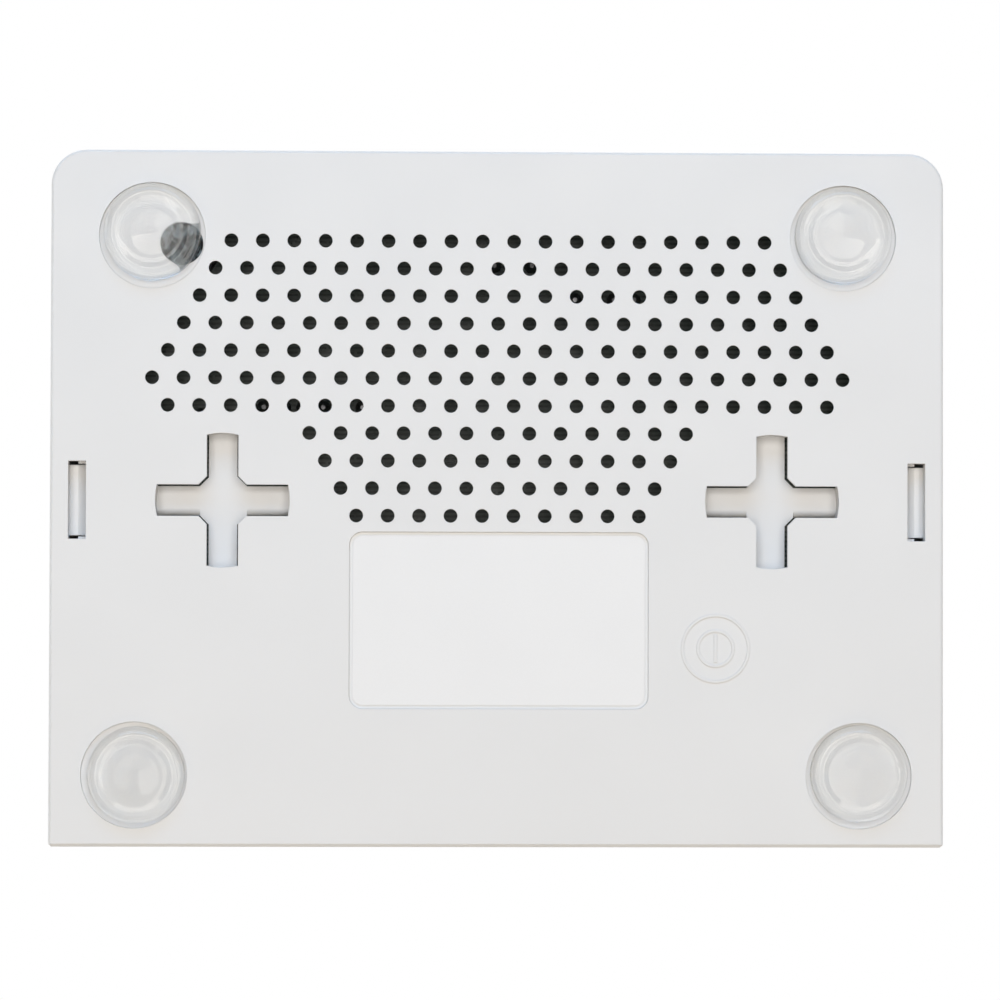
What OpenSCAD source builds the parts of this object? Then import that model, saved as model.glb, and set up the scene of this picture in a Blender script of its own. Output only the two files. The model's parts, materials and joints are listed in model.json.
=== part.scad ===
// Small home network router: a two-shell plastic case on four clear bumper feet.
// Origin: middle of the footprint, on the surface it stands on. +Z up, -Y the connector side,
// +Y the indicator side with the rounded corners.

/* [Case] */
// Width of the case
body_w = 113.8; // [113.4:0.2:114.4]
// Depth of the case
body_d = 88.6; // [88.2:0.2:89.2]
// Height from the surface to the top of the cover
body_h = 28; // [27.5:0.5:30]
// Wall thickness of both shells
wall = 1.8; // [1.7:0.1:1.9]
// Thickness of the base plate
plate_t = 2; // [1.8:0.1:2.2]
// Height of the base plate above the surface
plate_z = 2; // [1.8:0.1:2.2]
// Height at which the base meets the cover
split_z = 9.5; // [9.3:0.1:9.8]
// Plan radius of the two corners at the indicator side
corner_r = 4.5; // [4:0.5:5]
// Radius along the cover's top edge
top_edge_r = 3; // [2.4:0.2:3.4]
// Depth of the recessed connector bay
bay_d = 2.4; // [2.2:0.1:2.6]

/* [Vents] */
// Diameter of a vent hole in the base
vent_d = 1.74; // [1.4:0.02:1.9]
// Distance between vent holes along a row
vent_pitch = 4; // [3.8:0.1:4]
// Distance between rows
vent_row = 3.5; // [3.3:0.1:3.5]
// Number of slots in each side of the cover
side_slots = 17; // [9:1:18]

/* [Wall mounting] */
// Distance between the two cross keyholes
keyhole_gap = 70; // [68:1:70]
// Width of a keyhole's arms
keyhole_w = 4; // [3.6:0.1:4.2]
// Length of a keyhole from end to end
keyhole_len = 17.1; // [16:0.1:17.4]

/* [Feet] */
// Diameter of a foot where it is stuck on
foot_d = 12.4; // [12:0.1:12.4]
// Diameter of the round recess that it sits in
foot_recess_d = 13.5; // [13.4:0.1:13.8]

/* [Buttons] */
// Travel of the power button
power_travel = 1.6; // [1.2:0.1:1.8]
// Travel of the pairing button
wps_travel = 0.4; // [0.3:0.05:0.5]
// Travel of the reset switch
reset_travel = 0.3; // [0.2:0.05:0.35]

/* [Hidden] */
$fn = 48;

eps = 0.01;
cut = 1;

// Case
half_w = body_w / 2;
half_d = body_d / 2;
port_y = -half_d;
inner_x = half_w - wall;
floor_z = plate_z + plate_t;
ceiling_z = body_h - 2;
base_edge_r = 0.4;
seam_edge_r = 0.3;
port_chamfer = 0.4;
seam = 0.3;
tongue_h = 1.1;
tongue_gap = 0.1;

// Vent field: rows counted from the indicator side
vent_top_y = 32.8;
vent_draft = 0.5;
vent_counts = [for (k = [0 : 10]) k <= 5 ? 18 + k : k == 6 ? 22 : 20 - k];

// Keyholes: a thin lip that a screw's head slides behind, under a bridge of the same cross shape
keyhole_y = -0.3;
keyhole_corner = 1.05;
keyhole_lip = 0.8;
keyhole_relief_d = keyhole_len + 2.4;
head_room = 2.2;
bridge_z = plate_z + keyhole_lip + head_room;
bridge_t = 1.2;
bridge_gap = 0.1;
bridge_inner_gap = 0.24;
bridge_shift = -0.04;
bridge_edge_r = 0.9;
bridge_end = 1.4;

// Snap latches
latch_x = 53.45;
latch_y = -0.3;
latch_window = [2.25, 9.9];
hook_w = 9;
hook_t = 1.4;
hook_tip_z = floor_z + 0.3;

// Label recess
label_size = [38.1, 22.5];
label_at = [-0.2, -15.5];
label_r = 1.7;
label_depth = 0.4;

// Feet: place of each recess, and how far its hand-placed foot is off centre
foot_recess = 0.5;
adhesive_t = 0.15;
foot_led = [44.05, 33.4];
foot_port = [46.1, -35.2];
foot_at = [[-foot_port.x, foot_port.y], foot_port, [-foot_led.x, foot_led.y], foot_led];
foot_nudge = [[0, 0.3], [-0.3, 0], [0, 0.3], [0, 0.4]];

// Case screw, under the seal
screw_at = [40.3, 32.4];
seal_d = 5.4;
seal_t = 0.08;
boss_d = 8;
boss_top = 12;

// Board
board_z = floor_z + 4.4;
board_t = 1.6;
board_top = board_z + board_t;
board_x = half_w - 2.6;
board_back = -39.8;
board_front = 39.6;
standoffs = [[-49, -22], [49, -22], [-49, 24], [49, 24]];

// Connector side
panel_t = 1.8;
panel_y = port_y + bay_d;
panel_back = panel_y + panel_t;
jack_pitch = 13.97;
jack_w = 15.3;
jack_h = 13.3;
jack_depth = 15.8;
jack_front = panel_y - 0.2;
wan_x = -23.2;
lan_x = 15.1;
lan_count = 4;
lan_w = jack_w + (lan_count - 1) * jack_pitch;
dc_x = -38;
dc_z = board_top + 6.5;
dc_bore = 6.4;
dc_front = panel_back + 0.1;
button_z = board_top + 4.4;
power_x = -49.5;
wps_x = 51.2;
reset_x = 46.3;

// Indicators
led_y = 37;
led_pitch = 8;
led_count = 7;
led_window = [4.2, 1.3];
band = [62, 6];
band_depth = 0.3;

// ---------------------------------------------------------------- shared shapes

// Half of the case's cross-section, with a rounded lower and upper outer corner
module edge_profile(half, h, base_r, top_r) {
    difference() {
        square([half, h]);
        if (base_r > 0)
            translate([half - base_r, base_r])
                difference() {
                    translate([0, -base_r - cut]) square([base_r + cut, base_r + cut]);
                    circle(base_r);
                }
        if (top_r > 0)
            translate([half - top_r, h - top_r])
                difference() {
                    square(top_r + cut);
                    circle(top_r);
                }
    }
}

// The case's form between two heights, inset from its outer faces and ending at port_end
module case_form(z0, z1, inset = 0, base_r = 0, top_r = 0, port_end = port_y) {
    half_x = half_w - inset;
    led_end = half_d - inset;
    r = corner_r - inset;
    translate([0, led_end - r, z0])
        rotate([90, 0, 0])
            linear_extrude(led_end - r - port_end)
                for (side = [0, 1]) mirror([side, 0]) edge_profile(half_x, z1 - z0, base_r, top_r);
    translate([r - half_x, 0, z0])
        rotate([90, 0, 90])
            linear_extrude(2 * (half_x - r)) edge_profile(led_end, z1 - z0, base_r, top_r);
    for (side = [-1, 1])
        translate([side * (half_x - r), led_end - r, z0])
            rotate_extrude() edge_profile(r, z1 - z0, base_r, top_r);
}

// Small bevel round the square-cut connector end, which fades out over the rounded upper corners
module port_end_bevel() {
    c = port_chamfer * sqrt(2);
    for (z = [plate_z, body_h])
        translate([-half_w - cut, port_y, z])
            rotate([45, 0, 0]) translate([0, -c / 2, -c / 2]) cube([body_w + 2 * cut, c, c]);
    for (side = [-1, 1])
        translate([side * half_w, port_y, 0])
            rotate(45) translate([-c / 2, -c / 2, 0]) cube([c, c, body_h + cut]);
}

// Upright plate with rounded ends, centred on its axis
module slot(len, w, h) {
    cube([len - w, w, h], center = true);
    for (end = [-1, 1]) translate([end * (len - w) / 2, 0, 0]) cylinder(d = w, h = h, center = true);
}

// Flat rounded rectangle standing on z = 0
module rounded_plate(size, r, h) {
    translate([-size.x / 2 + r, -size.y / 2, 0]) cube([size.x - 2 * r, size.y, h]);
    translate([-size.x / 2, -size.y / 2 + r, 0]) cube([size.x, size.y - 2 * r, h]);
    for (sx = [-1, 1], sy = [-1, 1])
        translate([sx * (size.x / 2 - r), sy * (size.y / 2 - r), 0]) cylinder(r = r, h = h);
}

// Box standing on the board, given its middle
module on_board(at, size, lift = 0) {
    translate([at.x - size.x / 2, at.y - size.y / 2, board_top + lift]) cube(size);
}

// Cylinder along +Y from y0 to y1
module along_y(x, z, y0, y1, d) {
    translate([x, y0, z]) rotate([-90, 0, 0]) cylinder(d = d, h = y1 - y0);
}

// Smooth curve through a list of points, with n steps between each two
function between(p, i, t) =
    let (a = p[max(i - 1, 0)], b = p[i], c = p[i + 1], d = p[min(i + 2, len(p) - 1)])
    0.5 * (2 * b + (c - a) * t + (2 * a - 5 * b + 4 * c - d) * t * t + (3 * b - a - 3 * c + d) * t * t * t);
function smooth(p, n) =
    concat([for (i = [0 : len(p) - 2], k = [0 : n - 1]) between(p, i, k / n)], [p[len(p) - 1]]);

function unit(v) = v / norm(v);
function heading(p, i) = unit(p[min(i + 1, len(p) - 1)] - p[max(i - 1, 0)]);
function ring(p, i, r, sides) =
    let (t = heading(p, i), a = unit(cross(t, [0, 0, 1])), b = cross(t, a))
    [for (k = [0 : sides - 1]) p[i] + r * (cos(360 * k / sides) * a + sin(360 * k / sides) * b)];

// Round wire along a route that is nowhere upright
module wire(route, d) {
    sides = 8;
    p = smooth(route, 4);
    last = len(p) - 1;
    points = [for (i = [0 : last]) each ring(p, i, d / 2, sides)];
    walls = [for (i = [0 : last - 1], k = [0 : sides - 1])
        let (a = i * sides + k, b = i * sides + (k + 1) % sides)
        each [[a, b, a + sides], [b, b + sides, a + sides]]];
    ends = [[for (k = [sides - 1 : -1 : 0]) k], [for (k = [0 : sides - 1]) last * sides + k]];
    polyhedron(points, concat(walls, ends));
}

// ---------------------------------------------------------------- case

// Cross with arms of half-width w and length l, and corners cut from c to w
module cross_plate(w, c, l, h) {
    linear_extrude(h)
        polygon([[l, w], [c, w], [w, c], [w, l], [-w, l], [-w, c], [-c, w], [-l, w],
            [-l, -w], [-c, -w], [-w, -c], [-w, -l], [w, -l], [w, -c], [c, -w], [l, -w]]);
}

module keyhole_cross(h) {
    intersection() {
        cross_plate(keyhole_w / 2, keyhole_w / 2 + keyhole_corner, keyhole_len, h);
        cylinder(d = keyhole_len, h = h);
    }
}

// Space behind the lip, in the four quarters between the arms
module keyhole_relief() {
    difference() {
        cylinder(d = keyhole_relief_d, h = plate_t);
        for (turn = [0, 90])
            rotate(turn)
                translate([-keyhole_len, -keyhole_w / 2, -cut])
                    cube([2 * keyhole_len, keyhole_w, plate_t + 2 * cut]);
    }
}

// Bridge over a keyhole: open along its arms, and joined to the plate by blocks at their ends
module keyhole_bridge() {
    w = keyhole_w / 2 - bridge_gap;
    c = keyhole_w / 2 + keyhole_corner - bridge_gap * (sqrt(2) - 1);
    end = keyhole_len / 2;
    difference() {
        translate([0, bridge_shift, floor_z - eps])
            cross_plate(w, c, end + bridge_end, bridge_z + bridge_t - floor_z + eps);
        translate([0, 0, floor_z - cut]) cylinder(d = keyhole_len, h = bridge_z - floor_z + cut);
        // Wider gap along the sides towards the middle of the case
        for (y = [c, -end])
            translate([-w - cut, y, bridge_z - eps])
                cube([cut + bridge_inner_gap - bridge_gap, end - c, bridge_t + cut]);
        // Rounded edge towards the connector side
        for (x = [-end, c])
            translate([x, bridge_shift - w, bridge_z])
                rotate([90, 0, 90])
                    linear_extrude(end - c)
                        difference() {
                            translate([-cut, -eps]) square([bridge_edge_r + cut, bridge_edge_r + eps]);
                            translate([bridge_edge_r, bridge_edge_r]) circle(bridge_edge_r);
                        }
    }
}

module vent_holes() {
    for (k = [0 : len(vent_counts) - 1], i = [0 : vent_counts[k] - 1])
        translate([(i - (vent_counts[k] - 1) / 2) * vent_pitch, vent_top_y - k * vent_row, plate_z - eps])
            cylinder(d1 = vent_d, d2 = vent_d + vent_draft, h = plate_t + 2 * eps);
}

// Post with a head over the hook's barb, and a guide at each end of the hook
module latch_catch() {
    foot_x = latch_x - 2.8;
    head_z = hook_tip_z + 1.3;
    top_z = head_z + 1.5;
    end_y = latch_window.y / 2 + 0.8;
    guide_w = end_y - hook_w / 2 - 0.15;
    translate([foot_x, latch_y - end_y, floor_z - eps]) cube([1.6, 2 * end_y, top_z - floor_z + eps]);
    translate([foot_x, latch_y - end_y, head_z]) cube([2.6, 2 * end_y, top_z - head_z]);
    for (at = [latch_y - end_y, latch_y + end_y - guide_w])
        translate([foot_x, at, floor_z - eps]) cube([2.8, guide_w, top_z - floor_z + eps]);
}

// Plain raised rings with a pointer, as moulds leave behind
module mould_mark(r, h) {
    for (ring = [r, r * 0.55])
        difference() {
            cylinder(r = ring, h = h);
            translate([0, 0, -cut]) cylinder(r = ring - 0.35, h = h + 2 * cut);
        }
    translate([-0.2, -r * 0.4, 0]) cube([0.4, r * 0.8, h]);
}

module base_shell() {
    mark_h = 0.12;
    rib_back = panel_back + 0.2;
    difference() {
        union() {
            difference() {
                case_form(plate_z, split_z, 0, base_edge_r, seam_edge_r);
                case_form(floor_z, split_z + cut, wall, 0, 0, port_y - cut);
                port_end_bevel();
            }
            // Tongue that the cover slides over
            difference() {
                case_form(split_z - cut, split_z + tongue_h, wall / 2, 0, 0, panel_back + 2);
                case_form(split_z - 2 * cut, split_z + tongue_h + cut, wall, 0, 0, panel_back);
            }
            for (side = [-1, 1]) {
                mirror([side > 0 ? 0 : 1, 0]) latch_catch();
                translate([side * 50 - 2, rib_back, floor_z - eps]) cube([4, 1.2, 3.5]);
            }
            translate([-6, rib_back, floor_z - eps]) cube([12, 1.2, 3.5]);
            for (at = standoffs)
                translate([at.x, at.y, floor_z - eps]) cylinder(d = 6, h = board_z - floor_z + eps);
            translate([screw_at.x, screw_at.y, floor_z - eps])
                cylinder(d = boss_d, h = boss_top - floor_z + eps);
            translate([-27.8, -19, plate_z - mark_h]) mould_mark(4.4, mark_h + eps);
        }
        vent_holes();
        for (side = [-1, 1]) {
            translate([side * keyhole_gap / 2, keyhole_y, plate_z - cut]) keyhole_cross(plate_t + 2 * cut);
            translate([side * keyhole_gap / 2, keyhole_y, plate_z + keyhole_lip]) keyhole_relief();
            translate([side * latch_x - latch_window.x / 2, latch_y - latch_window.y / 2, plate_z - cut])
                cube([latch_window.x, latch_window.y, plate_t + cut + eps]);
        }
        translate([label_at.x, label_at.y, plate_z - cut])
            rounded_plate(label_size, label_r, label_depth + cut);
        for (at = foot_at)
            translate([at.x, at.y, plate_z - cut]) cylinder(d = foot_recess_d, h = foot_recess + cut);
        for (at = standoffs) translate([at.x, at.y, board_z - 4]) cylinder(d = 2.1, h = 4 + cut);
        translate([screw_at.x, screw_at.y, plate_z - cut]) {
            cylinder(d = 5, h = 2.3 + cut);
            cylinder(d = 3.1, h = boss_top);
        }
    }
}

module bottom_case() {
    color("whitesmoke") {
        base_shell();
        for (side = [-1, 1])
            translate([side * keyhole_gap / 2, keyhole_y, 0]) mirror([side > 0 ? 0 : 1, 0]) keyhole_bridge();
    }
}

// Cover's snap hook: a leg down inside the wall, with a barb that points inwards
module snap_hook() {
    root_z = 18;
    barb = 1;
    leg_x = latch_x + 0.05;
    translate([0, latch_y + hook_w / 2, 0])
        rotate([90, 0, 0])
            linear_extrude(hook_w)
                polygon([[leg_x, hook_tip_z], [leg_x + hook_t, hook_tip_z],
                    [leg_x + hook_t, split_z + 3], [inner_x + 0.2, split_z + 3.4],
                    [inner_x + 0.2, root_z], [leg_x + 0.6, root_z], [leg_x, root_z - 1],
                    [leg_x, hook_tip_z + 1.1], [leg_x - barb, hook_tip_z + 1.1],
                    [leg_x - barb, hook_tip_z + 0.6]]);
}

module top_cover() {
    slot_pitch = 4;
    post_d = 6.6;
    rib_h = 2;
    color("white")
    difference() {
        union() {
            difference() {
                case_form(split_z + seam, body_h, 0, seam_edge_r, top_edge_r);
                case_form(split_z - cut, ceiling_z, wall, 0, top_edge_r - wall, port_y - cut);
                case_form(split_z - cut, split_z + tongue_h + 2 * tongue_gap, wall / 2 - tongue_gap, 0, 0,
                    panel_back + 2 - tongue_gap);
                port_end_bevel();
            }
            for (side = [0, 1]) mirror([side, 0]) snap_hook();
            translate([screw_at.x, screw_at.y, boss_top + 0.2])
                cylinder(d = post_d, h = ceiling_z - boss_top);
            // Rib behind the panel's upper edge, and stops beside the light pipe
            translate([-52, panel_back + 0.1, ceiling_z - rib_h]) cube([104, 1.2, rib_h + eps]);
            for (x = [-29, 27.8])
                translate([x, led_y - 2, ceiling_z - 3]) cube([1.2, 4, 3 + eps]);
        }
        for (side = [-1, 1], i = [0 : side_slots - 1])
            if (abs((i - (side_slots - 1) / 2) * slot_pitch - latch_y) > hook_w / 2 + 1.5)
                translate([side * (half_w - wall / 2), (i - (side_slots - 1) / 2) * slot_pitch, 18])
                    rotate([0, 90, 0]) slot(9, 1.6, wall + 2 * cut);
        translate([0, led_y, body_h - band_depth + 5]) slot(band.x, band.y, 10);
        for (i = [0 : led_count - 1])
            translate([(i - (led_count - 1) / 2) * led_pitch, led_y, body_h]) slot(led_window.x, led_window.y, 8);
        translate([screw_at.x, screw_at.y, boss_top]) cylinder(d = 2.6, h = 9);
    }
}

module port_panel() {
    gap = 0.2;
    color("white")
    difference() {
        translate([0, panel_back, floor_z + 0.05])
            rotate([90, 0, 0])
                linear_extrude(panel_t)
                    for (side = [0, 1])
                        mirror([side, 0])
                            edge_profile(inner_x - gap, ceiling_z - floor_z - 0.15, 0, top_edge_r - wall);
        translate([wan_x - jack_w / 2 - gap, panel_y - cut, board_top - gap])
            cube([jack_w + 2 * gap, panel_t + 2 * cut, jack_h + 2 * gap]);
        translate([lan_x - lan_w / 2 - gap, panel_y - cut, board_top - gap])
            cube([lan_w + 2 * gap, panel_t + 2 * cut, jack_h + 2 * gap]);
        along_y(dc_x, dc_z, panel_y - cut, panel_back + cut, 7.6);
        along_y(power_x, button_z, panel_y - cut, panel_back + cut, 7);
        along_y(wps_x, button_z, panel_y - cut, panel_back + cut, 4.6);
        along_y(reset_x, button_z, panel_y - cut, panel_back + cut, 1.6);
    }
}

module case_screw() {
    head_z = plate_z + 0.7;
    color("silver")
    translate([screw_at.x, screw_at.y, head_z])
        difference() {
            union() {
                cylinder(d = 4.6, h = 1.5);
                cylinder(d = 2.5, h = 15);
            }
            for (turn = [0, 90]) rotate(turn) translate([-1.1, -0.3, -eps]) cube([2.2, 0.6, 0.9]);
        }
}

// ---------------------------------------------------------------- underside pieces

// Flat-topped clear bumper with a round shoulder and a shallow dish in the face it stands on
module foot(i) {
    h = plate_z + foot_recess - adhesive_t;
    base = foot_d / 2;
    face = base - 0.9;
    shoulder = 0.6;
    dish_r = 3.15;
    dish_h = 0.3;
    arc = [for (a = [0 : 15 : 90]) [face - shoulder + shoulder * cos(a), shoulder - shoulder * sin(a)]];
    dish = [for (t = [0 : 0.25 : 1]) [dish_r * (1 - t), dish_h * (1 - pow(1 - t, 2))]];
    translate([foot_at[i].x + foot_nudge[i].x, foot_at[i].y + foot_nudge[i].y, 0])
        color("aliceblue", 0.6)
        rotate_extrude() polygon(concat([[0, h], [base, h], [base, h - 0.5]], arc, dish));
}

module foot_adhesive() {
    color("gainsboro")
    for (i = [0 : 3])
        translate([0, 0, plate_z + foot_recess - adhesive_t])
            difference() {
                translate([foot_at[i].x + foot_nudge[i].x, foot_at[i].y + foot_nudge[i].y, 0])
                    cylinder(d = foot_d - 0.6, h = adhesive_t);
                translate([screw_at.x, screw_at.y, -cut]) cylinder(d = seal_d + 0.2, h = 3 * cut);
            }
}

module tamper_seal() {
    color("slategray")
    translate([screw_at.x, screw_at.y, plate_z + foot_recess - seal_t]) cylinder(d = seal_d, h = seal_t);
}

module rating_label() {
    t = 0.12;
    color("white")
    translate([label_at.x, label_at.y, plate_z + label_depth - t])
        rounded_plate([label_size.x - 0.9, label_size.y - 0.9], label_r - 0.4, t);
}

// ---------------------------------------------------------------- buttons and switches

// Round cap: a face out of the panel, and a flange behind it
module button_cap(x, d, front, flange_d, flange_y) {
    edge = 0.4;
    translate([x, front, button_z])
        rotate([-90, 0, 0])
            rotate_extrude()
                polygon([[0, 0.15], [d / 2 - 1.2, 0.1], [d / 2 - edge, 0], [d / 2, edge],
                    [d / 2, flange_y - front], [flange_d / 2, flange_y - front],
                    [flange_d / 2, flange_y - front + 1], [0, flange_y - front + 1]]);
}

power_front = panel_y - 2;
power_flange_y = panel_back + 0.3;
power_body_y = power_flange_y + 1 + power_travel + 0.6;

module power_button() {
    color("gainsboro")
    difference() {
        button_cap(power_x, 6.6, power_front, 7.8, power_flange_y);
        translate([power_x - 1.1, power_flange_y - 1.5, button_z - 1.1]) cube([2.2, 3, 2.2]);
    }
}

module power_switch_plunger() {
    color("dimgray")
    translate([power_x - 1.05, power_flange_y - 1.5, button_z - 1.05])
        cube([2.1, power_body_y + 3.5 - power_flange_y + 1.5, 2.1]);
}

module power_switch_body() {
    color("dimgray")
    difference() {
        translate([power_x - 3.5, power_body_y, board_top]) cube([7, 8.5, 7.5]);
        translate([power_x - 1.15, power_body_y - cut, button_z - 1.15])
            cube([2.3, 3.5 + power_travel + 0.3 + cut, 2.3]);
    }
}

wps_front = panel_y - 1.2;
wps_flange_y = panel_back + 0.2;
wps_body_y = wps_flange_y + 1.6 + wps_travel;

module wps_button() {
    color("gainsboro") button_cap(wps_x, 4.2, wps_front, 5.6, wps_flange_y);
}

module wps_switch_plunger() {
    color("black") along_y(wps_x, button_z, wps_flange_y + 1, wps_body_y + 1, 2.4);
}

// Small side-push switch with a blind hole for its plunger
module tact_body(x, w, y, bore, depth) {
    difference() {
        union() {
            translate([x - w / 2, y, board_top]) cube([w, 3.6, button_z - board_top + 2.3]);
            translate([x - w / 2 + 0.4, y + 3.6 - eps, board_top]) cube([w - 0.8, 0.8, 3]);
        }
        along_y(x, button_z, y - cut, y + depth, bore);
    }
}

module wps_switch_body() {
    color("silver") tact_body(wps_x, 4.5, wps_body_y, 2.5, 1 + wps_travel + 0.2);
}

reset_front = panel_back + 1.2;
reset_body_y = reset_front + 0.8;

module reset_switch_plunger() {
    color("black") along_y(reset_x, button_z, reset_front, reset_body_y + 1, 1.4);
}

module reset_switch_body() {
    color("silver") tact_body(reset_x, 4, reset_body_y, 1.5, 1 + reset_travel + 0.2);
}

// ---------------------------------------------------------------- connectors

cavity_w = 11.9;
cavity_z = board_top + 4.2;
cavity_h = 6.9;
cavity_depth = 13;
contact_slot = [9, 0.9];
notch = [[6.2, 1.3], [3.4, 2.6]];

module jack_block(count) {
    w = jack_w + (count - 1) * jack_pitch;
    difference() {
        union() {
            translate([-w / 2, jack_front, board_top]) cube([w, jack_depth, jack_h]);
            for (i = [0 : count - 1], side = [-1, 1])
                translate([(i - (count - 1) / 2) * jack_pitch + side * 5.7, jack_front + 9, board_z + 0.1])
                    cylinder(d = 3.2, h = board_t);
        }
        for (i = [0 : count - 1])
            translate([(i - (count - 1) / 2) * jack_pitch, jack_front, 0]) {
                translate([-cavity_w / 2, -cut, cavity_z]) cube([cavity_w, cavity_depth + cut, cavity_h]);
                for (step = notch)
                    translate([-step.x / 2, -cut, cavity_z - step.y])
                        cube([step.x, cavity_depth + cut, step.y + eps]);
                translate([-contact_slot.x / 2, 2, cavity_z + cavity_h - eps])
                    cube([contact_slot.x, jack_depth, contact_slot.y]);
            }
    }
}

module wan_jack() {
    color("royalblue") translate([wan_x, 0, 0]) jack_block(1);
}

module lan_jack() {
    color("gold") translate([lan_x, 0, 0]) jack_block(lan_count);
}

// Eight spring wires: up from the board behind the socket, forward in its roof, and folded back down
module jack_contacts(x) {
    t = 0.25;
    w = 0.45;
    top = cavity_z + cavity_h + 0.6;
    fold = jack_front + 2.6;
    back = jack_front + jack_depth + 0.3;
    tip = [jack_front + 10, cavity_z + cavity_h - 1.9];
    color("gold")
    for (i = [0 : 7])
        translate([x + (i - 3.5) * 1.02 - w / 2, 0, 0])
            rotate([90, 0, 90])
                linear_extrude(w)
                    polygon([[back + t, board_top], [back + t, top + t], [fold, top + t],
                        [fold - 0.25, top], [fold - 0.1, top - 0.35], [tip.x, tip.y],
                        [tip.x + 0.1, tip.y + 0.25], [fold + 0.35, top - 0.2], [fold + 0.5, top],
                        [back, top], [back, board_top]]);
}

function lan_port_x(i) = lan_x + (i - (lan_count + 1) / 2) * jack_pitch;

module dc_jack_body() {
    depth = 9.5;
    color("black")
    difference() {
        translate([dc_x - 4.5, dc_front, board_top]) cube([9, 14, 11]);
        along_y(dc_x, dc_z, dc_front - cut, dc_front + depth, dc_bore);
        along_y(dc_x, dc_z, dc_front + depth - eps, dc_front + depth + 2, 2);
        translate([dc_x - 1.1, dc_front + 1.5, dc_z - 4.4]) cube([2.2, 7.5, 2]);
    }
}

module dc_jack_pin() {
    color("silver") {
        along_y(dc_x, dc_z, dc_front + 1.2, dc_front + 11.5, 2);
        translate([dc_x, dc_front + 1.2, dc_z]) sphere(d = 2);
    }
}

module dc_jack_spring() {
    floor_at = dc_z - 4.4;
    y0 = dc_front + 1.8;
    color("silver")
    translate([dc_x - 0.8, 0, 0])
        rotate([90, 0, 90])
            linear_extrude(1.6)
                polygon([[y0 + 6.8, floor_at], [y0 + 6.8, floor_at + 0.3], [y0 + 3, floor_at + 1.65],
                    [y0 + 1.2, floor_at + 1.65], [y0, floor_at + 1.1], [y0, floor_at + 0.8],
                    [y0 + 1.2, floor_at + 1.35], [y0 + 3, floor_at + 1.35], [y0 + 6.6, floor_at]]);
}

// ---------------------------------------------------------------- indicators

module light_pipe() {
    bar = [54, 2.6, 1.6];
    color("white", 0.5) {
        translate([-bar.x / 2, led_y - bar.y / 2, ceiling_z - 0.2 - bar.z]) cube(bar);
        for (i = [0 : led_count - 1])
            translate([(i - (led_count - 1) / 2) * led_pitch, led_y, 0]) {
                translate([0, 0, (ceiling_z + body_h - band_depth - 1) / 2])
                    slot(led_window.x - 0.16, led_window.y - 0.16, body_h - band_depth - ceiling_z + 1);
                translate([-0.9, -0.6, board_top + 1.1])
                    cube([1.8, 1.2, ceiling_z - 1 - board_top - 1.1]);
            }
    }
}

module indicator_leds() {
    color("honeydew")
    for (i = [0 : led_count - 1])
        on_board([(i - (led_count - 1) / 2) * led_pitch, led_y], [1.6, 0.8, 0.7]);
}

// ---------------------------------------------------------------- board and its parts

module main_board() {
    notch_x = latch_x - 3.2;
    color("darkgreen")
    difference() {
        translate([-board_x, board_back, board_z]) cube([2 * board_x, board_front - board_back, board_t]);
        for (side = [-1, 1]) {
            translate([side > 0 ? notch_x : -board_x - cut, latch_y - 6, board_z - cut])
                cube([board_x - notch_x + cut, 12, board_t + 2 * cut]);
            // Corners cleared for the round corners of the case
            translate([side * board_x, board_front, board_z - cut])
                rotate(45) translate([-2, -2, 0]) cube([4, 4, board_t + 2 * cut]);
        }
        for (at = standoffs)
            translate([at.x, at.y, board_z - cut]) cylinder(d = 2.8, h = board_t + 2 * cut);
        translate([screw_at.x, screw_at.y, board_z - cut]) cylinder(d = boss_d + 1, h = board_t + 2 * cut);
        for (x = concat([wan_x], [for (i = [1 : lan_count]) lan_port_x(i)]), side = [-1, 1])
            translate([x + side * 5.7, jack_front + 9, board_z - cut]) cylinder(d = 3.4, h = board_t + 2 * cut);
    }
}

module board_screws() {
    color("silver")
    for (at = standoffs)
        translate([at.x, at.y, board_top])
            difference() {
                union() {
                    translate([0, 0, eps]) cylinder(d = 5, h = 1.6);
                    translate([0, 0, -5]) cylinder(d = 2, h = 5.5);
                }
                for (turn = [0, 90]) rotate(turn) translate([-1.2, -0.3, 0.8]) cube([2.4, 0.6, 1]);
            }
}

cpu_at = [-3, 14];
radio_at = [-31, 15];
switch_at = [8, -7];
shield = [28, 22, 3];

module processor() {
    color("dimgray") on_board(cpu_at, [19, 19, 1.7]);
}

module thermal_pad() {
    color("lightblue") on_board(cpu_at, [17, 17, 0.5], 1.7);
}

module heat_sink() {
    size = 23;
    fins = 9;
    fin_t = 0.9;
    color("silver") {
        on_board(cpu_at, [size, size, 1.5], 2.2);
        for (i = [0 : fins - 1])
            on_board([cpu_at.x - (size - fin_t) / 2 + i * (size - fin_t) / (fins - 1), cpu_at.y],
                [fin_t, size, 7.5], 2.2);
    }
}

module memory_chip() {
    color("black") on_board([18, 14], [10, 13, 1.1]);
}

module flash_chip() {
    color("black") on_board([17, 27], [5.2, 6, 1.7]);
}

module switch_chip() {
    color("black") on_board(switch_at, [14, 14, 1.4]);
}

module radio_chip() {
    color("black") on_board(radio_at, [9, 9, 0.9]);
}

module radio_shield_frame() {
    color("silver")
    difference() {
        on_board(radio_at, shield);
        on_board(radio_at, [shield.x - 0.8, shield.y - 0.8, shield.z + 1], -0.5);
    }
}

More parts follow.
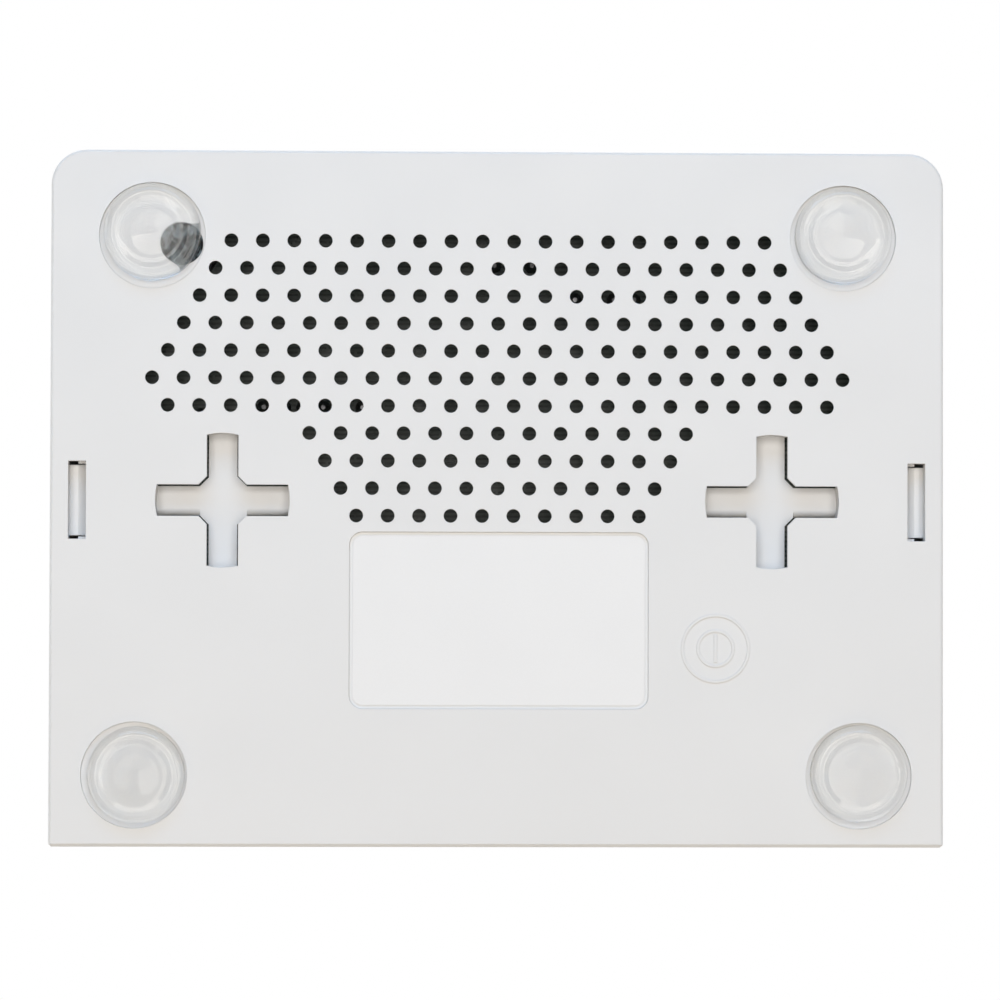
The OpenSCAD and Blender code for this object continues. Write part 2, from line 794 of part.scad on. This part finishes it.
module radio_shield_lid() {
    t = 0.3;
    color("silver")
    difference() {
        on_board(radio_at, [shield.x + 0.8, shield.y + 0.8, 1.8], shield.z - 1.4);
        on_board(radio_at, [shield.x + 0.1, shield.y + 0.1, 2], shield.z - 1.99);
        for (i = [-3 : 3], j = [-2 : 2])
            translate([radio_at.x + i * 3.6, radio_at.y + j * 3.8, board_top + shield.z - t])
                cylinder(d = 1.2, h = 2, $fn = 24);
    }
}

module lan_transformers() {
    color("black")
    for (x = [wan_x, 5, 26]) on_board([x, -20.6], [x == wan_x ? 11 : 15, 7.4, 4.8]);
}

capacitor_at = [[-45.5, -13], [-35.5, -15], [38, 12.5]];
crystal_at = [[-2, 30.2], [24, -11]];

module bulk_capacitors() {
    color("midnightblue")
    for (at = capacitor_at)
        translate([at.x, at.y, board_top]) {
            cylinder(d = 8, h = 10.6);
            translate([0, 0, 10.6 - eps]) cylinder(d = 6.6, h = 0.4);
        }
}

module power_inductors() {
    color("gray")
    for (at = [[-28, -8], [-46, -2.5], [38, -6]])
        translate([at.x, at.y, board_top])
            difference() {
                translate([-3.4, -3.4, 0]) cube([6.8, 6.8, 3.8]);
                translate([0, 0, 3.5]) cylinder(d = 5, h = 1);
            }
}

module power_chips() {
    color("black")
    for (at = [[-37, -4], [28, -4]]) on_board(at, [5, 4, 1.5]);
}

module crystals() {
    color("silver")
    for (at = crystal_at) translate([at.x, at.y, board_top + 1.75]) slot(11, 4.4, 3.5);
}

module chip_components() {
    pitch = 2.6;
    color("tan") {
        for (i = [0 : 7], side = [-1, 1])
            on_board([cpu_at.x + (i - 3.5) * pitch, cpu_at.y + side * 13], [0.9, 1.6, 0.7]);
        for (i = [0 : 5], side = [-1, 1])
            on_board([switch_at.x + side * 8.8, switch_at.y + (i - 2.5) * 2.2], [1.6, 0.8, 0.6]);
        for (i = [0 : 5]) on_board([36 + (i % 2) * pitch, 20 + floor(i / 2) * pitch], [1.6, 0.8, 0.6]);
        for (i = [0 : 6]) on_board([(i - 3) * led_pitch, led_y - 3], [1.6, 0.8, 0.6]);
    }
}

// Soldered leads of the through-hole parts, standing out under the board
module solder_joints() {
    rows = concat(
        [for (at = capacitor_at, side = [-1, 1]) [at.x, at.y + side * 1.75]],
        [for (at = crystal_at, side = [-1, 1]) [at.x + side * 2.44, at.y]],
        [for (x = concat([wan_x], [for (i = [1 : lan_count]) lan_port_x(i)]), i = [0 : 7])
            [x + (i - 3.5) * 1.02, jack_front + jack_depth + (i % 2 == 0 ? 0.4 : 2.9)]],
        [for (i = [0 : 5]) [30 - i * 2.54, 11.8]],
        [for (i = [0 : 3]) [-10 - i * 2.54, 25.8]]);
    color("silver")
    for (at = rows)
        translate([at.x, at.y, board_z - 1.4])
            cylinder(d1 = 0.6, d2 = 1.9, h = 1.4, $fn = 24);
}

// ---------------------------------------------------------------- antennas

antenna = [34, 0.8, 9];
antenna_z = 14;
antenna_x = 31;
antenna_y = half_d - wall - 0.3 - antenna.y;
wire_d = 1.1;

module antenna_strip(side) {
    color("darkgreen")
    translate([side * antenna_x - antenna.x / 2, antenna_y, antenna_z])
        difference() {
            cube(antenna);
            for (x = [3, 30]) translate([x + 0.5, -cut, 4.5]) rotate([-90, 0, 0]) cylinder(d = 1.6, h = 3);
        }
}

module antenna_left() { antenna_strip(-1); }
module antenna_right() { antenna_strip(1); }

plug_left = [-24, 31];
plug_right = [-19, 31];

module antenna_plugs() {
    color("gold")
    for (at = [plug_left, plug_right])
        translate([at.x, at.y, board_top]) {
            on_pad = [2.6, 2.6, 0.4];
            translate([-on_pad.x / 2, -on_pad.y / 2, 0]) cube(on_pad);
            translate([0, 0, on_pad.z - eps]) cylinder(d = 2.4, h = 1.2);
        }
}

module antenna_cable_left() {
    z = board_top + 2.2;
    color("dimgray")
    wire([[plug_left.x, plug_left.y, z], [plug_left.x - 4, plug_left.y + 3, z], [-30, 37, 14],
        [-33, antenna_y - 1.2, 17], [-40, antenna_y - 0.8, 18]], wire_d);
}

module antenna_cable_right() {
    z = board_top + 2.2;
    color("dimgray")
    wire([[plug_right.x, plug_right.y, z], [plug_right.x + 3, plug_right.y + 2, z], [-8, 33.4, z],
        [20, 33.4, z], [28, 35, 14], [32, antenna_y - 1.2, 17], [40, antenna_y - 0.8, 18]], wire_d);
}

// ---------------------------------------------------------------- what is drawn

bottom_case();
top_cover();
port_panel();
case_screw();
foot(0);  // foot_port_left
foot(1);  // foot_port_right
foot(2);  // foot_led_left
foot(3);  // foot_led_right
foot_adhesive();
tamper_seal();
rating_label();
power_button();
power_switch_plunger();
power_switch_body();
wps_button();
wps_switch_plunger();
wps_switch_body();
reset_switch_plunger();
reset_switch_body();
wan_jack();
lan_jack();
jack_contacts(wan_x);  // jack_contacts_wan
jack_contacts(lan_port_x(1));  // jack_contacts_lan1
jack_contacts(lan_port_x(2));  // jack_contacts_lan2
jack_contacts(lan_port_x(3));  // jack_contacts_lan3
jack_contacts(lan_port_x(4));  // jack_contacts_lan4
dc_jack_body();
dc_jack_pin();
dc_jack_spring();
light_pipe();
indicator_leds();
main_board();
board_screws();
processor();
thermal_pad();
heat_sink();
memory_chip();
flash_chip();
switch_chip();
radio_chip();
radio_shield_frame();
radio_shield_lid();
lan_transformers();
bulk_capacitors();
power_inductors();
power_chips();
crystals();
chip_components();
solder_joints();
antenna_left();
antenna_right();
antenna_cable_left();
antenna_cable_right();
antenna_plugs();
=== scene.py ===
import json
import math

import bmesh
import bpy
from mathutils import Matrix, Vector


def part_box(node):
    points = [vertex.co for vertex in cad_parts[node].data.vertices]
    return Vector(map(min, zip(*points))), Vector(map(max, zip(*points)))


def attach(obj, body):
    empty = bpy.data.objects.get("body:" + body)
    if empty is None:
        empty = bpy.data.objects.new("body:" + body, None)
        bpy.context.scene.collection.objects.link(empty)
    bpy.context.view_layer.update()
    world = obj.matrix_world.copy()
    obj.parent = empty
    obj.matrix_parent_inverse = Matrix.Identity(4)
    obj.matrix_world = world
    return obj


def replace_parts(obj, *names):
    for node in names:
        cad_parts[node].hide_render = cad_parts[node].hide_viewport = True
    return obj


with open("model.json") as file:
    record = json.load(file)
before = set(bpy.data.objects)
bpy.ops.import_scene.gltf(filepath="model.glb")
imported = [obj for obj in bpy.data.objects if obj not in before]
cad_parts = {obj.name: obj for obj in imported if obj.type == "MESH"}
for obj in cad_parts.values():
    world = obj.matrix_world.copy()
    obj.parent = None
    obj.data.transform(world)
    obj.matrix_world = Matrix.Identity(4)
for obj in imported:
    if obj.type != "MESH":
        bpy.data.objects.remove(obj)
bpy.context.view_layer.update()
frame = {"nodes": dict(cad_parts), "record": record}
nodes = frame["nodes"]
scene = bpy.context.scene

MM = 0.001


# ---------------------------------------------------------------- materials

class Surface:
    """A Principled material. Its textures read object coordinates, which are the frame's metres."""

    def __init__(self, name, colour, roughness, metallic=0.0, **sockets):
        self.material = bpy.data.materials.new(name)
        self.material.use_nodes = True
        self.tree = self.material.node_tree
        self.shader = self.tree.nodes["Principled BSDF"]
        self.coords = self.tree.nodes.new("ShaderNodeTexCoord").outputs["Object"]
        self.normal = None
        self.set(**{"Base Color": (*colour, 1), "Roughness": roughness, "Metallic": metallic})
        self.set(**{key.replace("_", " "): value for key, value in sockets.items()})

    def set(self, **sockets):
        for key, value in sockets.items():
            self.shader.inputs[key].default_value = value

    def add(self, kind, **sockets):
        node = self.tree.nodes.new(kind)
        for key, value in sockets.items():
            node.inputs[key.replace("_", " ")].default_value = value
        return node

    def link(self, source, target):
        self.tree.links.new(source, target)

    def noise(self, size, detail=2.0, roughness=0.5, stretch=None, distortion=0.0):
        """Noise whose blobs are about size metres across, stretched along the axes by stretch."""
        node = self.add("ShaderNodeTexNoise", Scale=1 / size, Detail=detail, Roughness=roughness,
                        Distortion=distortion)
        self.link(self.stretched(stretch), node.inputs["Vector"])
        return node.outputs["Fac"]

    def stretched(self, stretch):
        if stretch is None:
            return self.coords
        node = self.add("ShaderNodeMapping")
        node.inputs["Scale"].default_value = stretch
        self.link(self.coords, node.inputs["Vector"])
        return node.outputs["Vector"]

    def remap(self, value, low, high, at=(0.3, 0.7)):
        node = self.add("ShaderNodeMapRange")
        node.inputs["From Min"].default_value, node.inputs["From Max"].default_value = at
        node.inputs["To Min"].default_value, node.inputs["To Max"].default_value = low, high
        self.link(value, node.inputs["Value"])
        return node.outputs["Result"]

    def colours(self, value, low, high, at=(0.3, 0.7)):
        """Base colour from low to high as value goes over the range at."""
        node = self.tree.nodes.new("ShaderNodeValToRGB")
        ramp = node.color_ramp.elements
        ramp[0].position, ramp[1].position = at
        ramp[0].color, ramp[1].color = (*low, 1), (*high, 1)
        self.link(value, node.inputs["Fac"])
        self.link(node.outputs["Color"], self.shader.inputs["Base Color"])

    def rough(self, value, low, high, at=(0.3, 0.7)):
        self.link(self.remap(value, low, high, at), self.shader.inputs["Roughness"])

    def soft_edges(self, radius):
        """Rounds the shading of sharp edges, as a mould's small radii do."""
        node = self.add("ShaderNodeBevel", Radius=radius)
        node.samples = 4
        self.use_normal(node.outputs["Normal"])

    def bump(self, value, depth, strength=1.0):
        node = self.add("ShaderNodeBump", Distance=depth, Strength=strength)
        self.link(value, node.inputs["Height"])
        if self.normal is not None:
            self.link(self.normal, node.inputs["Normal"])
        self.use_normal(node.outputs["Normal"])

    def use_normal(self, normal):
        self.normal = normal
        self.link(normal, self.shader.inputs["Normal"])


def shade(colour, factor):
    return tuple(c * factor for c in colour)


def moulded(name, colour, roughness, grain=0.16 * MM, mottle=0.012):
    """Moulded plastic: spark-eroded grain, a little uneven in colour and gloss."""
    s = Surface(name, colour, roughness, IOR=1.5)
    s.soft_edges(0.12 * MM)
    s.colours(s.noise(18 * MM, detail=3), shade(colour, 1 - mottle), shade(colour, 1 + mottle))
    s.rough(s.noise(9 * MM, detail=4), roughness - 0.05, roughness + 0.06)
    s.bump(s.noise(grain, detail=2.5, roughness=0.6), 0.006 * MM, 0.7)
    return s.material


def metal(name, colour, roughness, scratch=0.05 * MM, stretch=(1, 1, 1), depth=0.004 * MM):
    """Plated or drawn metal with fine streaks and a cloudy finish."""
    s = Surface(name, colour, roughness, 1.0)
    s.soft_edges(0.05 * MM)
    s.colours(s.noise(2.5 * MM, detail=4), shade(colour, 0.86), shade(colour, 1.08))
    s.rough(s.noise(1.2 * MM, detail=4), roughness * 0.75, roughness * 1.35)
    s.bump(s.noise(scratch, detail=3, stretch=stretch), depth, 0.5)
    return s.material


def foil():
    """Grey seal: mottled, wrinkled foil."""
    s = Surface("seal_foil", (0.04, 0.045, 0.05), 0.5, Specular_IOR_Level=0.15)
    blotches = s.noise(0.75 * MM, detail=2, roughness=0.6, stretch=(1, 0.7, 1), distortion=1)
    s.colours(blotches, (0.0, 0.001, 0.002), (0.12, 0.15, 0.162), (0.42, 0.6))
    s.rough(s.noise(0.5 * MM, detail=3), 0.4, 0.65)
    s.bump(s.noise(0.6 * MM, detail=4, roughness=0.65), 0.06 * MM, 0.9)
    return s.material


def paper():
    """Blank coated label paper."""
    colour = (0.81, 0.81, 0.81)
    s = Surface("label_stock", colour, 0.38, IOR=1.45)
    s.soft_edges(0.08 * MM)
    s.colours(s.noise(0.25 * MM, detail=3), shade(colour, 0.992), shade(colour, 1.004))
    s.rough(s.noise(6 * MM), 0.34, 0.44)
    s.bump(s.noise(0.12 * MM, detail=3), 0.002 * MM, 0.5)
    return s.material


def bumper():
    """Soft clear polyurethane with slow waves in its surface."""
    s = Surface("clear_bumper", (0.97, 0.98, 0.985), 0.02, IOR=1.46, Transmission_Weight=1.0, Alpha=0.7,
                Specular_IOR_Level=0.18)
    s.rough(s.noise(3 * MM, detail=4), 0.01, 0.05)
    s.bump(s.noise(2.2 * MM, detail=2), 0.012 * MM, 0.35)
    return s.material


def adhesive():
    """Clear tape, faintly cloudy."""
    s = Surface("clear_adhesive", (0.82, 0.83, 0.83), 0.5, Alpha=0.05)
    s.colours(s.noise(1.5 * MM, detail=4), (0.76, 0.77, 0.77), (0.88, 0.89, 0.89))
    s.bump(s.noise(0.5 * MM, detail=2), 0.01 * MM, 0.4)
    return s.material


def light_pipe():
    """Lightly frosted acrylic."""
    s = Surface("clear_pipe", (0.9, 0.93, 0.92), 0.25, IOR=1.49, Transmission_Weight=1.0)
    s.rough(s.noise(1.5 * MM, detail=3), 0.18, 0.34)
    s.bump(s.noise(0.2 * MM, detail=2), 0.006 * MM, 0.6)
    return s.material


def solder_mask():
    """Grey-green board: copper tracks that show through the mask as raised bands."""
    dark, light = (0.05, 0.07, 0.06), (0.12, 0.15, 0.13)
    s = Surface("board_green", dark, 0.32, IOR=1.5)
    tracks = s.add("ShaderNodeTexBrick", Scale=1.0, Mortar_Size=0.18 * MM, Brick_Width=7.3 * MM,
                   Row_Height=0.62 * MM)
    tracks.inputs["Color1"].default_value = (0, 0, 0, 1)
    tracks.inputs["Color2"].default_value = (0.35, 0.35, 0.35, 1)
    tracks.inputs["Mortar"].default_value = (1, 1, 1, 1)
    s.link(s.coords, tracks.inputs["Vector"])
    s.colours(tracks.outputs["Color"], dark, light, (0.0, 1.0))
    s.rough(s.noise(4 * MM, detail=4), 0.26, 0.4)
    s.bump(tracks.outputs["Color"], 0.03 * MM, 0.6)
    s.bump(s.noise(0.15 * MM, detail=2), 0.003 * MM, 0.4)
    return s.material


def moulded_epoxy():
    """Chip packages."""
    s = Surface("chip_black", (0.02, 0.02, 0.022), 0.55)
    s.soft_edges(0.08 * MM)
    s.colours(s.noise(0.1 * MM, detail=3), (0.014, 0.014, 0.015), (0.032, 0.032, 0.034))
    s.rough(s.noise(1.5 * MM, detail=3), 0.48, 0.62)
    s.bump(s.noise(0.07 * MM, detail=3), 0.006 * MM, 0.8)
    return s.material


def plain(name, colour, roughness, size, depth):
    """Small fired or sleeved parts with an even, slightly pitted surface."""
    s = Surface(name, colour, roughness)
    s.soft_edges(0.06 * MM)
    s.colours(s.noise(size, detail=3), shade(colour, 0.85), shade(colour, 1.12))
    s.rough(s.noise(size * 2.5, detail=3), roughness - 0.06, roughness + 0.08)
    s.bump(s.noise(size, detail=3), depth, 0.6)
    return s.material


WHITE = (0.748, 0.748, 0.746)
LOOKS = {
    "case_white": moulded("case_white", WHITE, 0.44),
    "button_grey": moulded("button_grey", (0.42, 0.425, 0.435), 0.36, grain=0.12 * MM),
    "clear_bumper": bumper(),
    "clear_adhesive": adhesive(),
    "seal_foil": foil(),
    "label_stock": paper(),
    "switch_black": moulded("switch_black", (0.018, 0.018, 0.02), 0.42, mottle=0.1),
    "socket_blue": moulded("socket_blue", (0.02, 0.1, 0.42), 0.34, mottle=0.05),
    "socket_yellow": moulded("socket_yellow", (0.78, 0.5, 0.03), 0.34, mottle=0.04),
    "gold_plate": metal("gold_plate", (0.83, 0.6, 0.24), 0.22),
    "steel": metal("steel", (0.58, 0.58, 0.6), 0.34),
    "tin_plate": metal("tin_plate", (0.66, 0.66, 0.67), 0.3, stretch=(1, 12, 1)),
    "clear_pipe": light_pipe(),
    "led_body": plain("led_body", (0.8, 0.8, 0.66), 0.3, 0.3 * MM, 0.002 * MM),
    "board_green": solder_mask(),
    "chip_black": moulded_epoxy(),
    "thermal_rubber": plain("thermal_rubber", (0.22, 0.36, 0.5), 0.7, 0.2 * MM, 0.01 * MM),
    "sink_aluminium": metal("sink_aluminium", (0.7, 0.71, 0.72), 0.38, stretch=(1, 20, 20)),
    "can_sleeve": plain("can_sleeve", (0.012, 0.016, 0.06), 0.3, 0.8 * MM, 0.004 * MM),
    "ferrite": plain("ferrite", (0.07, 0.07, 0.075), 0.62, 0.2 * MM, 0.015 * MM),
    "chip_ceramic": plain("chip_ceramic", (0.42, 0.27, 0.14), 0.45, 0.15 * MM, 0.004 * MM),
    "solder": metal("solder", (0.3, 0.3, 0.31), 0.42, scratch=0.3 * MM, depth=0.02 * MM),
    "cable_jacket": plain("cable_jacket", (0.03, 0.03, 0.034), 0.42, 0.3 * MM, 0.006 * MM),
}

for part in frame["record"]["subparts"]:
    target = nodes[part["node"]]
    target.data.materials.clear()
    target.data.materials.append(LOOKS[part["material_slot"]])


# ---------------------------------------------------------------- meshes

SMOOTH_ANGLE = 35


def lathe(name, profile, centre, slot, segments):
    """Closed turned piece of the case about a vertical axis.

    The profile is (radius, height) in metres, and it starts and ends on the axis."""
    bm = bmesh.new()
    rings = []
    for r, z in profile:
        if r < 1e-9:
            rings.append([bm.verts.new((centre[0], centre[1], z))])
        else:
            turn = [2 * math.pi * k / segments for k in range(segments)]
            rings.append([bm.verts.new((centre[0] + r * math.cos(a), centre[1] + r * math.sin(a), z))
                          for a in turn])
    for low, high in zip(rings, rings[1:]):
        for k in range(segments):
            n = (k + 1) % segments
            quad = [low[k % len(low)], low[n % len(low)], high[n % len(high)], high[k % len(high)]]
            bm.faces.new(list(dict.fromkeys(quad)))
    bmesh.ops.recalc_face_normals(bm, faces=bm.faces)
    mesh = bpy.data.meshes.new(name)
    bm.to_mesh(mesh)
    bm.free()
    mesh.materials.append(LOOKS[slot])
    mesh.shade_smooth()
    mesh.set_sharp_from_angle(angle=math.radians(SMOOTH_ANGLE))
    made = bpy.data.objects.new(name, mesh)
    scene.collection.objects.link(made)
    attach(made, "case")
    return made


def arc(centre, radius, start, end, steps):
    """Points on an arc in the profile plane; angles in degrees, 0 pointing outward."""
    return [(centre[0] + radius * math.cos(math.radians(start + (end - start) * k / steps)),
             centre[1] + radius * math.sin(math.radians(start + (end - start) * k / steps)))
            for k in range(steps + 1)]


# ---------------------------------------------------------------- clear feet

glue_low, glue_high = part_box("foot_adhesive")

DISH_RADIUS = 3.3 * MM
DISH_RIM, DISH_DEPTH = 0.11, 0.19     # heights in mm: the dish's edge, and its middle above that edge
STEP_RADIUS, STEP_HALF = 4.05, 0.3    # mm: where the fall to the standing ring starts, and half its width
SHOULDER = 1.2 * MM
GLUE_RADIUS = 5.85 * MM
BEHIND_BUMPER = 0.01 * MM             # the bumper's back and the glue's two faces keep clear of each other
GLUE_FRONT_GAP, GLUE_BACK_GAP = 0.03 * MM, 0.02 * MM


def foot(node):
    """Cast clear bumper: dished face, round shoulder, straight skirt. A little air stays behind it."""
    low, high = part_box(node)
    centre, base = (low + high) / 2, (high.x - low.x) / 2
    dish = [(DISH_RADIUS * t, (DISH_RIM + DISH_DEPTH * (1 - t * t) ** 2) * MM)
            for t in [k / 20 for k in range(21)]]
    step = [((STEP_RADIUS + STEP_HALF * (1 - math.cos(t))) * MM, DISH_RIM / 2 * (1 + math.cos(t)) * MM)
            for t in [math.pi * k / 12 for k in range(13)]]
    shoulder = arc((base - 1.25 * MM, SHOULDER), SHOULDER, -90, 0, 16)
    skirt = [(base - 0.02 * MM, 1.6 * MM), (base, 2 * MM)]
    back_z = glue_low.z + BEHIND_BUMPER
    profile = dish + step + shoulder + skirt + [(base, back_z), (0, back_z)]
    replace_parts(lathe(node + "_bumper", profile, centre, "clear_bumper", 144), node)
    front_z, rear_z = glue_low.z + GLUE_FRONT_GAP, glue_high.z - GLUE_BACK_GAP
    glue = [(0, front_z), (GLUE_RADIUS, front_z), (GLUE_RADIUS, rear_z), (0, rear_z)]
    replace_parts(lathe(node + "_glue", glue, centre, "clear_adhesive", 96), "foot_adhesive")


for name in ("foot_port_left", "foot_port_right", "foot_led_left", "foot_led_right"):
    foot(name)


# ---------------------------------------------------------------- floor, light and camera

def floor():
    """Pale one-sided floor: the underside can be looked at through it, and light passes both ways."""
    mesh = bpy.data.meshes.new("floor")
    half = 3.0
    corners = [(-half, -half, 0), (half, -half, 0), (half, half, 0), (-half, half, 0)]
    mesh.from_pydata(corners, [], [(0, 1, 2, 3)])
    material = bpy.data.materials.new("floor")
    material.use_nodes = True
    tree = material.node_tree
    shader = tree.nodes["Principled BSDF"]
    shader.inputs["Base Color"].default_value = (0.7, 0.7, 0.7, 1)
    shader.inputs["Roughness"].default_value = 0.8
    clear_back = tree.nodes.new("ShaderNodeBsdfTransparent")
    mix = tree.nodes.new("ShaderNodeMixShader")
    side = tree.nodes.new("ShaderNodeNewGeometry")
    tree.links.new(side.outputs["Backfacing"], mix.inputs["Fac"])
    tree.links.new(shader.outputs["BSDF"], mix.inputs[1])
    tree.links.new(clear_back.outputs["BSDF"], mix.inputs[2])
    tree.links.new(mix.outputs["Shader"], tree.nodes["Material Output"].inputs["Surface"])
    mesh.materials.append(material)
    made = bpy.data.objects.new("floor", mesh)
    for kind in ("diffuse", "glossy", "transmission", "volume_scatter", "shadow"):
        setattr(made, "visible_" + kind, False)
    scene.collection.objects.link(made)


def softbox(name, place, aim, size, power, colour=(1, 1, 1)):
    light = bpy.data.lights.new(name, "AREA")
    light.shape = "RECTANGLE"
    light.size, light.size_y = size
    light.energy = power
    light.color = colour
    made = bpy.data.objects.new(name, light)
    made.location = place
    made.rotation_mode = "QUATERNION"
    made.rotation_quaternion = (Vector(aim) - Vector(place)).to_track_quat("-Z", "Y")
    made.visible_camera = False
    scene.collection.objects.link(made)


def dome():
    """Plain studio dome: white straight above, a little dimmer round the horizon, dark straight below."""
    world = bpy.data.worlds.new("studio")
    world.use_nodes = True
    scene.world = world
    tree = world.node_tree
    coords = tree.nodes.new("ShaderNodeTexCoord")
    split = tree.nodes.new("ShaderNodeSeparateXYZ")
    tree.links.new(coords.outputs["Generated"], split.inputs["Vector"])
    ramp = tree.nodes.new("ShaderNodeValToRGB")
    fit = tree.nodes.new("ShaderNodeMapRange")
    fit.inputs["From Min"].default_value = -1
    tree.links.new(split.outputs["Z"], fit.inputs["Value"])
    tree.links.new(fit.outputs["Result"], ramp.inputs["Fac"])
    stops = [(0.0, 0.05), (0.2, 0.05), (0.36, 0.3), (0.484, 0.4), (0.492, 0.8), (0.75, 0.78), (0.93, 0.82),
             (0.972, 1.0)]
    elements = ramp.color_ramp.elements
    elements[0].position, elements[0].color = stops[0][0], (*[stops[0][1]] * 3, 1)
    elements[1].position, elements[1].color = stops[-1][0], (*[stops[-1][1]] * 3, 1)
    for position, value in stops[1:-1]:
        elements.new(position).color = (value, value, value, 1)
    tree.links.new(ramp.outputs["Color"], tree.nodes["Background"].inputs["Color"])


def camera():
    """Looks straight up at the underside, from a little towards the connector side and +X."""
    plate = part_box("bottom_case")[0].z
    eye = Vector((10.66 * MM, -10.56 * MM, plate - 470.7 * MM))
    aim = Vector((-0.29 * MM, -0.16 * MM, plate))
    roll = math.radians(0.167)
    back = (eye - aim).normalized()
    right = Vector((0, 1, 0)).cross(back).normalized()
    up = back.cross(right)
    turned = right * math.cos(roll) + up * math.sin(roll)
    data = bpy.data.cameras.new("camera")
    data.sensor_width = 36
    data.lens = 133.2
    data.clip_start = 0.01
    made = bpy.data.objects.new("camera", data)
    axes = Matrix((turned, back.cross(turned), back)).transposed()
    made.matrix_world = Matrix.Translation(eye) @ axes.to_4x4()
    scene.collection.objects.link(made)
    scene.camera = made


floor()
dome()
# Below: four softboxes round the camera's axis and a weak one on it, a cool window beyond the indicator
# side, and warm walls
FRONT = (1.02, 0.98, 0.93)
softbox("front_far", (0, 0.22, -0.74), (0, 0.22, 0), (0.6, 0.16), 1.75, FRONT)
softbox("front_near", (0, -0.22, -0.74), (0, -0.22, 0), (0.6, 0.16), 0.86, FRONT)
softbox("front_fill", (0, 0.01, -0.74), (0, 0, 0), (0.28, 0.28), 0.5, FRONT)
softbox("front_left", (0.22, 0, -0.74), (0.22, 0, 0), (0.16, 0.28), 0.65, FRONT)
softbox("front_right", (-0.22, 0, -0.74), (-0.22, 0, 0), (0.16, 0.28), 0.65, FRONT)
softbox("cool_window", (0.03, 0.5, -0.42), (0, 0, 0), (0.6, 0.3), 1.15, (0.5, 0.9, 1.45))
softbox("warm_wall", (0.02, -0.5, -0.42), (0, 0, 0), (0.6, 0.3), 0.35, (1.3, 1.0, 0.6))
softbox("warm_left", (0.5, -0.1, -0.42), (0, 0, 0), (0.6, 0.3), 0.2, (1.3, 1.0, 0.6))
softbox("warm_right", (-0.5, -0.1, -0.42), (0, 0, 0), (0.6, 0.3), 0.2, (1.3, 1.0, 0.6))
# Above
softbox("key", (-0.9, -0.8, 1.3), (0, 0, 0), (0.9, 0.9), 9)
softbox("fill", (1.3, -0.2, 0.6), (0, 0, 0), (0.8, 0.8), 3)
softbox("rim", (0.3, 1.2, 0.7), (0, 0, 0), (1.0, 0.5), 3.5)
camera()
scene.view_settings.view_transform = "Standard"
scene.view_settings.look = "None"
